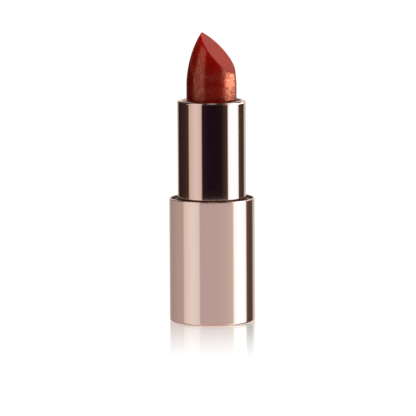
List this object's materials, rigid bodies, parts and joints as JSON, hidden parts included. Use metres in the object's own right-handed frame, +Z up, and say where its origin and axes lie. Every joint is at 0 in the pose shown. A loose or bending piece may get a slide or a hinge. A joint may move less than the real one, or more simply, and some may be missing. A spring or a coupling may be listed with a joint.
{
  "type": "lipstick case",
  "caption": "Twist-up lipstick case without its cap: metal base, turning collar with a helical cam, and a cup that carries the slant-cut lipstick up and down.",
  "frame": {"origin": "centre of the base's underside, on the surface that it stands on", "axes": "+Z up along the case's axis, out through the collar's mouth; the two lugs of the cup lie along X; the lipstick's slanting face runs down towards +X and a little towards -Y"},
  "size_m": [0.02, 0.02, 0.0679],
  "materials": {
    "rose_metal": "bright anodised rose-champagne, mirror-like",
    "grey_plastic": "moulded warm grey",
    "ivory_plastic": "moulded natural acetal",
    "white_plastic": "moulded white acetal",
    "cup_plastic": "moulded, smooth",
    "silicone": "greased, translucent grey",
    "weight_steel": "zinc plated, turned",
    "label_paper": "blank coated paper",
    "lipstick_wax": "satin wax with a fine shimmer"
  },
  "bodies": {
    "base": {"base_shell": "rose_metal", "shade_label": "label_paper", "base_weight": "weight_steel", "base_liner": "grey_plastic", "guide_tube": "ivory_plastic", "torque_ring": "silicone"},
    "swivel": {"cam_sleeve": "white_plastic", "collar_shell": "rose_metal"},
    "carrier": {"cup": "cup_plastic", "bullet": "lipstick_wax"}
  },
  "joints": [
    {"name": "collar_twist", "type": "hinge", "parent": "base", "child": "swivel", "pos_m": [0, 0, 0.04], "axis": [0, 0, 1], "range_deg": [0, 540]},
    {"name": "bullet_lift", "type": "slide", "parent": "base", "child": "carrier", "axis": [0, 0, 1], "range_m": [-0.018, 0]}
  ],
  "couplings": [
    {"joint": "bullet_lift", "follows": "collar_twist", "m_per_rad": -0.0019099}
  ]
}
